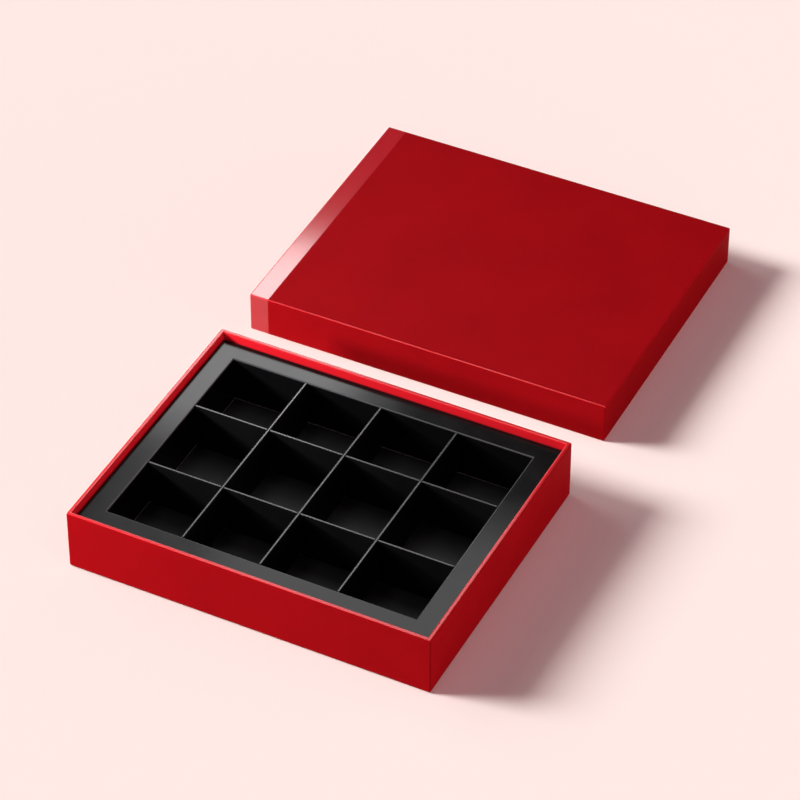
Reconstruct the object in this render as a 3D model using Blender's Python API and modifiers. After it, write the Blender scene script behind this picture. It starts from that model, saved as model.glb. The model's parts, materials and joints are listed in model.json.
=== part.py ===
"""Rigid gift box: a wrapped base with a card insert and dividers, and its telescoping lid laid beside it.

Metres, +Z up. The origin is the middle of the base's underside. +X runs along the box, +Y towards the lid.
Every sheet that is glued to another keeps a glue line's gap to it, so that each stays its own solid.
"""
import math

import bmesh
import bpy
from mathutils import Matrix, Vector

# Papers and boards
BOARD = 0.0012
WRAP_PAPER = 0.00015
STAY_TAPE = 0.00015
LINER_PAPER = 0.00015
PLATFORM_CARD = 0.0006
FLOOR_CARD = 0.0012
DIVIDER_CARD = 0.0012
GLUE_LINE = 0.00025
FOLD_RADIUS = 0.0008
FOLD_STEPS = 5
BOARD_EDGE_RADIUS = 0.0003
BOARD_EDGE_STEPS = 2
SLIT = 0.0003

# Base
BASE_LENGTH = 0.200
BASE_WIDTH = 0.160
BASE_HEIGHT = 0.035
BASE_TURN_IN = 0.018
BASE_TURN_UNDER = 0.015
BASE_LINER_MARGIN = 0.0010
UNDERSIDE_MARGIN = 0.0025
STAY_LEG = 0.018

# Insert
DECK_SINK = 0.0042
INSERT_CLEARANCE = 0.0006
DECK_FOLD_RADIUS = 0.0009
DECK_BORDER = 0.0118
COLUMNS = 4
MIDDLE_ROW = 0.0472
DIVIDER_SEAT = 0.0003
LEAD_IN = 0.0010

# Lid
LID_HEIGHT = 0.0235
LID_CLEARANCE = 0.0006
LID_TURN_IN = 0.015
LID_LINER_MARGIN = 0.0010
BAND_WIDTH = 0.011
BAND_SEAM = 0.0003

# Where the lid lies beside the base
LID_REST_GAP = 0.044
LID_REST_SHIFT = -0.005
LID_REST_TURN = math.radians(0.4)

# One overrun for every cut
OVERRUN = 0.002

# Turns, and the sharpest turn that isn't a fold
QUARTER_TURN = math.pi / 2
DIAGONAL = math.pi / 4
FLAT_TURN = math.pi / 6

# Worked out from the values above
STAY_DEPTH = WRAP_PAPER + GLUE_LINE
BOARD_DEPTH = STAY_DEPTH + STAY_TAPE + GLUE_LINE
RIM = BOARD_DEPTH + BOARD + GLUE_LINE + WRAP_PAPER
SKIN_STEP = WRAP_PAPER + GLUE_LINE

WRAP_BOTTOM = LINER_PAPER + GLUE_LINE
BASE_BOARD_BOTTOM = WRAP_BOTTOM + SKIN_STEP
BASE_LINER_BOTTOM = BASE_BOARD_BOTTOM + BOARD + GLUE_LINE
INSERT_BOTTOM = BASE_LINER_BOTTOM + LINER_PAPER + GLUE_LINE
COMPARTMENT_FLOOR = INSERT_BOTTOM + FLOOR_CARD
DECK_TOP = BASE_HEIGHT - DECK_SINK

PLATFORM_LENGTH = BASE_LENGTH - 2 * (RIM + INSERT_CLEARANCE)
PLATFORM_WIDTH = BASE_WIDTH - 2 * (RIM + INSERT_CLEARANCE)
OPENING_LENGTH = PLATFORM_LENGTH - 2 * DECK_BORDER
OPENING_WIDTH = PLATFORM_WIDTH - 2 * DECK_BORDER
DIVIDER_BOTTOM = COMPARTMENT_FLOOR + GLUE_LINE
DIVIDER_HEIGHT = DECK_TOP - DIVIDER_BOTTOM
LONG_DIVIDER_OFFSET = (MIDDLE_ROW + DIVIDER_CARD) / 2
COLUMN_PITCH = (OPENING_LENGTH + DIVIDER_CARD) / COLUMNS

LID_LENGTH = BASE_LENGTH + 2 * (LID_CLEARANCE + RIM)
LID_WIDTH = BASE_WIDTH + 2 * (LID_CLEARANCE + RIM)
LID_REST_Y = BASE_WIDTH / 2 + LID_REST_GAP + LID_WIDTH / 2

# Linear colour, roughness
FINISHES = {
    "greyboard": ((0.300, 0.275, 0.235, 1.0), 0.90),
    "kraft_tape": ((0.420, 0.290, 0.165, 1.0), 0.80),
    "red_paper": ((0.450, 0.006, 0.010, 1.0), 0.42),
    "gloss_red_paper": ((0.620, 0.055, 0.060, 1.0), 0.18),
    "lining_paper": ((0.030, 0.030, 0.032, 1.0), 0.70),
    "black_card": ((0.028, 0.028, 0.029, 1.0), 0.45),
    "divider_card": ((0.040, 0.040, 0.042, 1.0), 0.50),
}


def clear_scene():
    """Removes whatever the scene holds."""
    for item in list(bpy.data.objects):
        bpy.data.objects.remove(item, do_unlink=True)


def new_collection(name):
    """Returns a new collection linked to the scene."""
    group = bpy.data.collections.new(name)
    bpy.context.scene.collection.children.link(group)
    return group


def new_material(name, finish):
    """Returns a Principled material with one of the named finishes."""
    colour, roughness = FINISHES[finish]
    material = bpy.data.materials.new(name)
    material.use_nodes = True
    shader = material.node_tree.nodes["Principled BSDF"]
    shader.inputs["Base Color"].default_value = colour
    shader.inputs["Roughness"].default_value = roughness
    shader.inputs["Metallic"].default_value = 0.0
    material.diffuse_color = colour
    return material


def link_mesh(name, bm, group, finish=None, parent=None):
    """Turns a bmesh into an object in a collection, with its own material where it has a finish."""
    mesh = bpy.data.meshes.new(name)
    bm.to_mesh(mesh)
    bm.free()
    item = bpy.data.objects.new(name, mesh)
    group.objects.link(item)
    if finish is not None:
        mesh.materials.append(new_material(name, finish))
    if parent is not None:
        item.parent = parent
    return item


def new_empty(name, location, group, turn=0.0, parent=None):
    """Adds an empty that a moving group hangs on."""
    item = bpy.data.objects.new(name, None)
    item.empty_display_size = FOLD_RADIUS
    item.location = location
    item.rotation_euler = (0.0, 0.0, turn)
    if parent is not None:
        item.parent = parent
    group.objects.link(item)
    return item


def block_bmesh(length, width, height, bottom):
    """A box on the Z axis, standing on the height given."""
    bm = bmesh.new()
    bmesh.ops.create_cube(bm, size=1.0)
    bmesh.ops.scale(bm, vec=(length, width, height), verts=bm.verts)
    bmesh.ops.translate(bm, vec=(0.0, 0.0, bottom + height / 2), verts=bm.verts)
    return bm


def hide_cutter(item):
    """Marks an object as a cutter."""
    item.display_type = "WIRE"
    item.hide_render = True
    return item


def cut(target, cutter):
    """Cuts one object out of another."""
    modifier = target.modifiers.new("cut_" + cutter.name, "BOOLEAN")
    modifier.operation = "DIFFERENCE"
    modifier.solver = "EXACT"
    modifier.object = cutter


def add_solidify(item, thickness):
    """Thickens a folded sheet away from its good side."""
    modifier = item.modifiers.new("sheet", "SOLIDIFY")
    modifier.thickness = thickness
    modifier.offset = -1.0
    modifier.use_even_offset = True
    modifier.use_quality_normals = True


def add_edge_radius(item, radius, steps):
    """Rounds the sharp edges of a solid."""
    modifier = item.modifiers.new("edge", "BEVEL")
    modifier.width = radius
    modifier.segments = steps
    modifier.limit_method = "ANGLE"
    modifier.use_clamp_overlap = True


def boundary_loop(bm, height):
    """Boundary edges whose two ends are at one height."""
    return [
        edge for edge in bm.edges
        if edge.is_boundary and all(math.isclose(v.co.z, height, abs_tol=WRAP_PAPER / 2) for v in edge.verts)
    ]


def fold_on(bm, edges, inset_x, inset_y, drop):
    """Carries a sheet on from a boundary: inwards by the insets, and down by the drop."""
    made = bmesh.ops.extrude_edge_only(bm, edges=edges)["geom"]
    for corner in made:
        if isinstance(corner, bmesh.types.BMVert):
            corner.co.x -= math.copysign(inset_x, corner.co.x)
            corner.co.y -= math.copysign(inset_y, corner.co.y)
            corner.co.z -= drop


def face_outwards(bm):
    """Turns a folded sheet's good side outwards, as its outer wall shows."""
    bmesh.ops.recalc_face_normals(bm, faces=bm.faces)
    outer = max(bm.faces, key=lambda face: face.calc_center_median().x)
    if outer.normal.x < 0.0:
        bmesh.ops.reverse_faces(bm, faces=bm.faces)


def is_level(edge):
    """True for an edge whose two ends are at one height."""
    first, second = edge.verts
    return math.isclose(first.co.z, second.co.z, abs_tol=WRAP_PAPER / 2)


def round_folds(bm, radius, level_only=False):
    """Rounds the folds that turn the good side outwards, and leaves inside corners sharp."""
    bm.normal_update()
    folds = [
        edge for edge in bm.edges
        if edge.is_manifold and edge.is_convex and edge.calc_face_angle() > FLAT_TURN
        and (is_level(edge) or not level_only)
    ]
    bmesh.ops.bevel(
        bm, geom=folds, offset=radius, offset_type="OFFSET", segments=FOLD_STEPS, profile=0.5, affect="EDGES"
    )


def wrap_bmesh(length, width, bottom, top, turn_in, turn_under):
    """The wrapping paper of a tray, mouth up: closed below where nothing is turned under."""
    bm = block_bmesh(length, width, top - bottom, bottom)
    ends = [face for face in bm.faces if face.normal.z > 0.5]
    if turn_under > 0.0:
        ends += [face for face in bm.faces if face.normal.z < -0.5]
    bmesh.ops.delete(bm, geom=ends, context="FACES_ONLY")
    if turn_under > 0.0:
        fold_on(bm, boundary_loop(bm, bottom), turn_under, turn_under, 0.0)
    fold_on(bm, boundary_loop(bm, top), RIM, RIM, 0.0)
    fold_on(bm, boundary_loop(bm, top), 0.0, 0.0, turn_in)
    face_outwards(bm)
    round_folds(bm, FOLD_RADIUS)
    return bm


CORNERS = {"back_right": 0, "back_left": 1, "front_left": 2, "front_right": 3}


def corner_of(length, width, quarter):
    """One corner of a rectangle, counted in quarter turns from the back right one."""
    side_x = 1 if quarter in (0, 3) else -1
    side_y = 1 if quarter in (0, 1) else -1
    return Vector((side_x * length / 2, side_y * width / 2, 0.0))


def gather(name, pieces, group, parent=None):
    """Joins some block bmeshes in one cutter."""
    bm = bmesh.new()
    for piece in pieces:
        mesh = bpy.data.meshes.new(name)
        piece.to_mesh(mesh)
        piece.free()
        bm.from_mesh(mesh)
        bpy.data.meshes.remove(mesh)
    return hide_cutter(link_mesh(name, bm, group, parent=parent))


def corner_slits(length, width, reach, bottom, top):
    """Thin blocks on the diagonals of a rectangle's corners."""
    pieces = []
    for quarter in CORNERS.values():
        piece = block_bmesh(2 * reach, SLIT, top - bottom, bottom)
        turn = Matrix.Rotation(DIAGONAL + QUARTER_TURN * quarter, 4, "Z")
        piece.transform(Matrix.Translation(corner_of(length, width, quarter)) @ turn)
        pieces.append(piece)
    return pieces


def turn_over(bm, height):
    """Turns a tray that was made mouth up on its mouth, between the floor and the height."""
    bm.transform(Matrix.Translation((0.0, 0.0, height)) @ Matrix.Rotation(2 * QUARTER_TURN, 4, "X"))
    return bm


def wrap_slits(length, width, top, turn_in):
    """The mitres of the paper turned in at the four inside corners of a tray."""
    low = top - turn_in - OVERRUN
    return corner_slits(length - 2 * RIM, width - 2 * RIM, RIM / 2, low, top - 2 * FOLD_RADIUS)


def tray_bmesh(length, width, bottom, top):
    """The outside of a board tray as an open sheet, mouth up."""
    bm = block_bmesh(length, width, top - bottom, bottom)
    mouth = [face for face in bm.faces if face.normal.z > 0.5]
    bmesh.ops.delete(bm, geom=mouth, context="FACES_ONLY")
    return bm


def stay_bmesh(length, width, bottom, top, quarter):
    """The outside of one corner tape: two legs folded round a tray's corner."""
    bm = block_bmesh(STAY_LEG, STAY_LEG, top - bottom, bottom)
    bmesh.ops.translate(bm, vec=(-STAY_LEG / 2, -STAY_LEG / 2, 0.0), verts=bm.verts)
    others = [face for face in bm.faces if face.normal.x + face.normal.y < 0.5]
    bmesh.ops.delete(bm, geom=others, context="FACES")
    round_folds(bm, FOLD_RADIUS - STAY_DEPTH)
    turn = Matrix.Rotation(QUARTER_TURN * quarter, 4, "Z")
    bm.transform(Matrix.Translation(corner_of(length, width, quarter)) @ turn)
    return bm


def add_tray(prefix, length, width, bottom, top, group, cutters, parent=None, over=None):
    """Adds a board tray and the tapes over its corners, turned over where a height is given."""
    board = tray_bmesh(length - 2 * BOARD_DEPTH, width - 2 * BOARD_DEPTH, bottom, top)
    slits = corner_slits(
        length - 2 * BOARD_DEPTH - BOARD, width - 2 * BOARD_DEPTH - BOARD, 2 * BOARD,
        bottom + 2 * BOARD, top + OVERRUN,
    )
    if over is not None:
        turn_over(board, over)
        slits = [turn_over(piece, over) for piece in slits]
    item = link_mesh(prefix + "_board", board, group, "greyboard", parent)
    add_solidify(item, BOARD)
    add_edge_radius(item, BOARD_EDGE_RADIUS, BOARD_EDGE_STEPS)
    cut(item, gather(prefix + "_board_slits", slits, cutters, parent))
    for place, quarter in CORNERS.items():
        tape = stay_bmesh(length - 2 * STAY_DEPTH, width - 2 * STAY_DEPTH, bottom, top, quarter)
        if over is not None:
            turn_over(tape, over)
        item = link_mesh(prefix + "_corner_stay_" + place, tape, group, "kraft_tape", parent)
        add_solidify(item, STAY_TAPE)


def add_sheet(name, length, width, thickness, bottom, group, finish, parent=None):
    """Adds a flat sheet."""
    return link_mesh(name, block_bmesh(length, width, thickness, bottom), group, finish, parent)


def build_base(group, cutters):
    """The base: board tray, corner tapes, wrap, underside sheet and floor liner."""
    board_top = BASE_HEIGHT - SKIN_STEP
    add_tray("base", BASE_LENGTH, BASE_WIDTH, BASE_BOARD_BOTTOM, board_top, group, cutters)
    sheet = wrap_bmesh(BASE_LENGTH, BASE_WIDTH, WRAP_BOTTOM, BASE_HEIGHT, BASE_TURN_IN, BASE_TURN_UNDER)
    wrap = link_mesh("base_wrap", sheet, group, "red_paper")
    add_solidify(wrap, WRAP_PAPER)
    slits = wrap_slits(BASE_LENGTH, BASE_WIDTH, BASE_HEIGHT, BASE_TURN_IN)
    under_reach = (BASE_TURN_UNDER / 2 - FOLD_RADIUS) * math.sqrt(2)
    slits += corner_slits(
        BASE_LENGTH - BASE_TURN_UNDER - FOLD_RADIUS, BASE_WIDTH - BASE_TURN_UNDER - FOLD_RADIUS, under_reach,
        WRAP_BOTTOM - OVERRUN, WRAP_BOTTOM + WRAP_PAPER + GLUE_LINE / 2,
    )
    cut(wrap, gather("base_wrap_slits", slits, cutters))
    add_sheet(
        "base_underside_sheet", BASE_LENGTH - 2 * UNDERSIDE_MARGIN, BASE_WIDTH - 2 * UNDERSIDE_MARGIN,
        LINER_PAPER, 0.0, group, "lining_paper",
    )
    inset = BOARD_DEPTH + BOARD + BASE_LINER_MARGIN
    add_sheet(
        "base_floor_liner", BASE_LENGTH - 2 * inset, BASE_WIDTH - 2 * inset, LINER_PAPER, BASE_LINER_BOTTOM,
        group, "lining_paper",
    )


def platform_bmesh():
    """The insert's platform as an open sheet: legs, deck and the flanges round its opening."""
    bm = block_bmesh(PLATFORM_LENGTH, PLATFORM_WIDTH, DECK_TOP - INSERT_BOTTOM, INSERT_BOTTOM)
    ends = [face for face in bm.faces if abs(face.normal.z) > 0.5]
    bmesh.ops.delete(bm, geom=ends, context="FACES_ONLY")
    fold_on(bm, boundary_loop(bm, DECK_TOP), DECK_BORDER, DECK_BORDER, 0.0)
    fold_on(bm, boundary_loop(bm, DECK_TOP), 0.0, 0.0, DECK_TOP - DIVIDER_BOTTOM)
    face_outwards(bm)
    round_folds(bm, DECK_FOLD_RADIUS, level_only=True)
    return bm


def build_insert(group, cutters):
    """The insert: the folded platform and the card that its compartments stand on."""
    seat = new_empty("insert_seat", (0.0, 0.0, 0.0), group)
    platform = link_mesh("insert_platform", platform_bmesh(), group, "black_card", seat)
    add_solidify(platform, PLATFORM_CARD)
    fold_top = DECK_TOP - 2 * DECK_FOLD_RADIUS
    slits = corner_slits(
        PLATFORM_LENGTH - PLATFORM_CARD, PLATFORM_WIDTH - PLATFORM_CARD, 2 * PLATFORM_CARD,
        INSERT_BOTTOM - OVERRUN, fold_top,
    )
    slits += corner_slits(
        OPENING_LENGTH + PLATFORM_CARD, OPENING_WIDTH + PLATFORM_CARD, 2 * PLATFORM_CARD,
        DIVIDER_BOTTOM - OVERRUN, fold_top,
    )
    cut(platform, gather("platform_slits", slits, cutters, seat))
    inset = 2 * (PLATFORM_CARD + DIVIDER_SEAT)
    add_sheet(
        "insert_floor", PLATFORM_LENGTH - inset, PLATFORM_WIDTH - inset, FLOOR_CARD, INSERT_BOTTOM,
        group, "black_card", seat,
    )
    return seat


def build_dividers(group, cutters, seat):
    """The lattice: two long strips slotted from above, and the cross strips slotted from below over them."""
    lattice = new_empty("lattice_seat", (0.0, 0.0, 0.0), group, parent=seat)
    slot = DIVIDER_CARD + 2 * DIVIDER_SEAT
    middle = DIVIDER_BOTTOM + DIVIDER_HEIGHT / 2
    places_x = [COLUMN_PITCH * (step - COLUMNS / 2) for step in range(1, COLUMNS)]
    places_y = {"front": -LONG_DIVIDER_OFFSET, "back": LONG_DIVIDER_OFFSET}

    from_above = []
    for x in places_x:
        piece = block_bmesh(slot, 2 * slot, DIVIDER_HEIGHT, middle - GLUE_LINE / 2)
        bmesh.ops.translate(piece, vec=(x, 0.0, 0.0), verts=piece.verts)
        from_above.append(piece)
    for place, y in places_y.items():
        bm = block_bmesh(OPENING_LENGTH - 2 * DIVIDER_SEAT, DIVIDER_CARD, DIVIDER_HEIGHT, DIVIDER_BOTTOM)
        strip = link_mesh("long_divider_" + place, bm, group, "divider_card", lattice)
        strip.location.y = y
        pieces = [piece.copy() for piece in from_above]
        cutter = gather("long_slots_" + place, pieces, cutters, lattice)
        cutter.location.y = y
        cut(strip, cutter)
    for piece in from_above:
        piece.free()

    for place, x in zip(("left", "middle", "right"), places_x):
        bm = block_bmesh(DIVIDER_CARD, OPENING_WIDTH - 2 * DIVIDER_SEAT, DIVIDER_HEIGHT, DIVIDER_BOTTOM)
        strip = link_mesh("cross_divider_" + place, bm, group, "divider_card", lattice)
        strip.location.x = x
        slots = []
        for y in places_y.values():
            piece = slot_bmesh(slot, 2 * slot, DIVIDER_BOTTOM, middle + GLUE_LINE / 2)
            bmesh.ops.translate(piece, vec=(0.0, y, 0.0), verts=piece.verts)
            slots.append(piece)
        cutter = gather("cross_slots_" + place, slots, cutters, lattice)
        cutter.location.x = x
        cut(strip, cutter)


def slot_bmesh(slot, depth, bottom, top):
    """A slot along Y, cut from below up to its top, whose mouth widens over the lead-in."""
    bm = block_bmesh(depth, slot, top - bottom, bottom)
    bmesh.ops.bisect_plane(
        bm, geom=bm.verts[:] + bm.edges[:] + bm.faces[:], plane_co=(0.0, 0.0, bottom + LEAD_IN),
        plane_no=(0.0, 0.0, 1.0), dist=0.0,
    )
    for vert in bm.verts:
        if vert.co.z < bottom + LEAD_IN / 2:
            vert.co.y += math.copysign(LEAD_IN + OVERRUN, vert.co.y)
            vert.co.z -= OVERRUN
    return bm


def build_lid(group, cutters):
    """The lid, mouth down on the floor beside the base: tray, tapes, wrap, end band and liner."""
    place = new_empty("lid_rest", (LID_REST_SHIFT, LID_REST_Y, 0.0), group, LID_REST_TURN)
    board_top = LID_HEIGHT - SKIN_STEP
    add_tray(
        "lid", LID_LENGTH, LID_WIDTH, SKIN_STEP, board_top, group, cutters, parent=place, over=LID_HEIGHT
    )
    slits = wrap_slits(LID_LENGTH, LID_WIDTH, LID_HEIGHT, LID_TURN_IN)
    slits = [turn_over(piece, LID_HEIGHT) for piece in slits]
    slit_cutter = gather("lid_wrap_slits", slits, cutters, place)
    seam = BAND_WIDTH - LID_LENGTH / 2
    sides = {
        "lid_wrap": ("red_paper", seam - LID_LENGTH, seam),
        "lid_end_band": ("gloss_red_paper", seam - BAND_SEAM, seam + LID_LENGTH),
    }
    for name, (finish, low, high) in sides.items():
        sheet = turn_over(wrap_bmesh(LID_LENGTH, LID_WIDTH, 0.0, LID_HEIGHT, LID_TURN_IN, 0.0), LID_HEIGHT)
        item = link_mesh(name, sheet, group, finish, place)
        add_solidify(item, WRAP_PAPER)
        cut(item, slit_cutter)
        away = block_bmesh(high - low, LID_WIDTH + 2 * OVERRUN, LID_HEIGHT + 2 * OVERRUN, -OVERRUN)
        bmesh.ops.translate(away, vec=((low + high) / 2, 0.0, 0.0), verts=away.verts)
        cut(item, hide_cutter(link_mesh(name + "_rest", away, cutters, parent=place)))
    inset = BOARD_DEPTH + BOARD + LID_LINER_MARGIN
    under_top = LID_HEIGHT - SKIN_STEP - BOARD - GLUE_LINE - LINER_PAPER
    add_sheet(
        "lid_liner", LID_LENGTH - 2 * inset, LID_WIDTH - 2 * inset, LINER_PAPER, under_top,
        group, "lining_paper", place,
    )


def main():
    """Builds the base, the insert with its dividers, and the lid."""
    clear_scene()
    parts = new_collection("lid_and_base_box")
    cutters = new_collection("cutters")
    build_base(parts, cutters)
    seat = build_insert(parts, cutters)
    build_dividers(parts, cutters, seat)
    build_lid(parts, cutters)


main()
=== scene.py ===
"""Looks of a rigid gift box: base, folded card insert, slotted lattice, and the lid laid beside the base.

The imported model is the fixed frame. Every sheet that shows is modelled here as paper or card, at the
place of the solid it stands for, and the boards and tapes behind them keep their own meshes.
"""
import json
import logging
import math
from collections.abc import Callable, Sequence
from dataclasses import dataclass
from enum import Enum
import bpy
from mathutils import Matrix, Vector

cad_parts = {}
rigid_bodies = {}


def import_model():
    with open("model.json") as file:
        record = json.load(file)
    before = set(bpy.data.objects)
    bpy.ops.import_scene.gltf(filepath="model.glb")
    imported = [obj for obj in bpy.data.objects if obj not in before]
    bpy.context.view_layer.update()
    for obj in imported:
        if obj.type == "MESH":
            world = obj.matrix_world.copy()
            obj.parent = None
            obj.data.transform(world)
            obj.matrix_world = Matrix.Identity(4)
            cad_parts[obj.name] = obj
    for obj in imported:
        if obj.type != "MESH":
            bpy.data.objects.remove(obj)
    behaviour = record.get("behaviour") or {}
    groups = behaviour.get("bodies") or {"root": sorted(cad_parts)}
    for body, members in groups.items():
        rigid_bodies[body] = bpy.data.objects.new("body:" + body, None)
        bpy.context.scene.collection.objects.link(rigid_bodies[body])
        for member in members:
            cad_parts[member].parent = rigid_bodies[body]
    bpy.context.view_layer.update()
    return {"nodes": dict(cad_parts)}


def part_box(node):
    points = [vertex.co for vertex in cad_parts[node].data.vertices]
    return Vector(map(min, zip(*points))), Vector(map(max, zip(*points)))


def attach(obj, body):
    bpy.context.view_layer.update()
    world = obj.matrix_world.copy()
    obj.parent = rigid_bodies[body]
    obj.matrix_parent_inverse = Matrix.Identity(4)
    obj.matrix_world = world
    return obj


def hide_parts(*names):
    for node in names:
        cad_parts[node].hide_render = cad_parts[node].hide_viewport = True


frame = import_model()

from types import TracebackType

import bmesh
import bpy
from mathutils import Matrix, Vector

MM = 0.001
# Two places nearer than this are one
SAME = 0.01 * MM
# A sheet that turns more than this is creased
CREASE = math.pi / 6
# Flats that meet at less than this are shaded as one round
SMOOTH = math.radians(40)
# A face looks along an axis if its normal has more than this there
FACING = 0.5
# A face stands upright if its normal has less than this along Z
UPRIGHT = 0.05
LOG = logging.getLogger("gift_box")

Socket = bpy.types.NodeSocket
Tree = bpy.types.NodeTree
Piece = bpy.types.Object
Face = bpy.types.MeshPolygon
# Name, way of its light, strength, and width in degrees of a distant lamp
Sun = tuple[str, Sequence[float], float, float]
# Name, place, size and brightness of a flat lamp
Panel = tuple[str, Sequence[float], Sequence[float], float]
# Direction of a glow in the surround, its span as cosines, and the brightness at the span's ends
Glow = tuple[Sequence[float], Sequence[float], Sequence[float]]


def linear(hex_colour: str) -> tuple[float, float, float, float]:
    """Turns an sRGB hex colour to linear.

    Args:
        hex_colour: six hex digits.

    Returns:
        Linear red, green, blue and a full alpha.
    """
    levels = [int(hex_colour[place:place + 2], 16) / 255 for place in (0, 2, 4)]
    red, green, blue = (v / 12.92 if v <= 0.04045 else ((v + 0.055) / 1.055) ** 2.4 for v in levels)
    return red, green, blue, 1.0


def fill(node: bpy.types.Node, links: dict[str | int, object]) -> None:
    """Links or fills a node's inputs.

    Args:
        node: the node.
        links: inputs by name or place, each a socket to link or a value to set.
    """
    for name, value in links.items():
        if isinstance(value, Socket):
            node.id_data.links.new(value, node.inputs[name])
        else:
            node.inputs[name].default_value = value


def add_node(
    tree: Tree, kind: str, settings: dict[str, object] | None = None,
    links: dict[str | int, object] | None = None,
) -> bpy.types.Node:
    """Adds a node, sets it, and links or fills its inputs.

    Args:
        tree: the node tree that gets the node.
        kind: the node's type name.
        settings: properties of the node by name.
        links: inputs by name or place, each a socket to link or a value to set.

    Returns:
        The node.
    """
    node = tree.nodes.new(kind)
    for name, value in (settings or {}).items():
        setattr(node, name, value)
    fill(node, links or {})
    return node


def carry(
    value: Socket, ends: Sequence[float], span: Sequence[float] = (0.0, 1.0), curve: str = "LINEAR",
) -> Socket:
    """Carries a value from one span to another.

    Args:
        value: the socket to carry.
        ends: the results at the start and at the stop of the span.
        span: the values at its start and at its stop.
        curve: LINEAR, or SMOOTHSTEP for a gentle start and stop.

    Returns:
        The carried value.
    """
    made = add_node(
        value.id_data, "ShaderNodeMapRange", {"interpolation_type": curve},
        {"Value": value, "From Min": span[0], "From Max": span[1], "To Min": ends[0], "To Max": ends[1]},
    )
    return made.outputs["Result"]


class Mark(Enum):
    """Marks on a piece's faces that its finish reads."""

    FOLD_HIGHLIGHT = "fold"
    CORNER = "corner"
    BURNISHED = "burnished"
    TURNED_IN_PAINTED_LIGHT = "turned_in"


class Tone:
    """The nodes that every paper and card finish shares, on one material's tree."""

    # How strong each finer octave of a noise is beside the one before it
    fade: float = 0.55
    # The middle part of a noise, which clouds spread over 0 to 1
    middle: tuple[float, float] = (0.3, 0.7)

    def __init__(self, name: str) -> None:
        """Starts a material with one Principled shader.

        Args:
            name: the material's name.
        """
        self.material = bpy.data.materials.new(name)
        self.material.use_nodes = True
        self.tree = self.material.node_tree
        self.shader = self.tree.nodes["Principled BSDF"]
        self.place = add_node(self.tree, "ShaderNodeTexCoord").outputs["Object"]

    def noise(self, size: float, detail: float, stretch: Sequence[float] = (1.0, 1.0, 1.0)) -> Socket:
        """A noise whose blotches have a real size.

        Args:
            size: about how wide a blotch is, in metres.
            detail: octaves of finer noise.
            stretch: how much longer the blotches are along each axis.

        Returns:
            The noise, about 0 to 1.
        """
        scale = [1 / (size * part) for part in stretch]
        mapped = add_node(self.tree, "ShaderNodeMapping", None, {"Vector": self.place, "Scale": scale})
        made = add_node(
            self.tree, "ShaderNodeTexNoise", None,
            {"Vector": mapped.outputs["Vector"], "Scale": 1.0, "Detail": detail, "Roughness": self.fade},
        )
        return made.outputs["Fac"]

    def clouds(self, size: float, detail: float) -> Socket:
        """Soft clouds: a noise with its middle spread over the whole of 0 to 1.

        Args:
            size: about how wide a cloud is, in metres.
            detail: octaves of finer noise.

        Returns:
            The clouds, 0 to 1.
        """
        return carry(self.noise(size, detail), (0.0, 1.0), self.middle)

    def mark(self, mark: Mark) -> Socket:
        """Reads a mark from the piece's faces."""
        return add_node(self.tree, "ShaderNodeAttribute", {"attribute_name": mark.value}).outputs["Fac"]

    def mix(self, share: object, first: object, second: object) -> Socket:
        """Mixes two colours.

        Args:
            share: a socket or a number, 0 for the first colour and 1 for the second.
            first: a socket or a linear colour.
            second: a socket or a linear colour.

        Returns:
            The mixed colour.
        """
        # The node's colours are its inputs 6 and 7 and its output 2
        made = add_node(
            self.tree, "ShaderNodeMix", {"data_type": "RGBA"}, {"Factor": share, 6: first, 7: second}
        )
        return made.outputs[2]

    def relief(self, height: Socket, depth: float, over: Socket | None = None) -> Socket:
        """Raises a relief from a height.

        Args:
            height: 0 to 1.
            depth: how deep the relief is, in metres.
            over: the normal of a coarser relief that this one lies on.

        Returns:
            The normal.
        """
        links: dict[str | int, object] = {"Height": height, "Distance": depth, "Strength": 1.0}
        if over is not None:
            links["Normal"] = over
        return add_node(self.tree, "ShaderNodeBump", None, links).outputs["Normal"]

    def finish(self, values: dict[str, object]) -> bpy.types.Material:
        """Links or fills the shader's inputs by name, and returns the material."""
        fill(self.shader, values)
        return self.material


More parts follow.
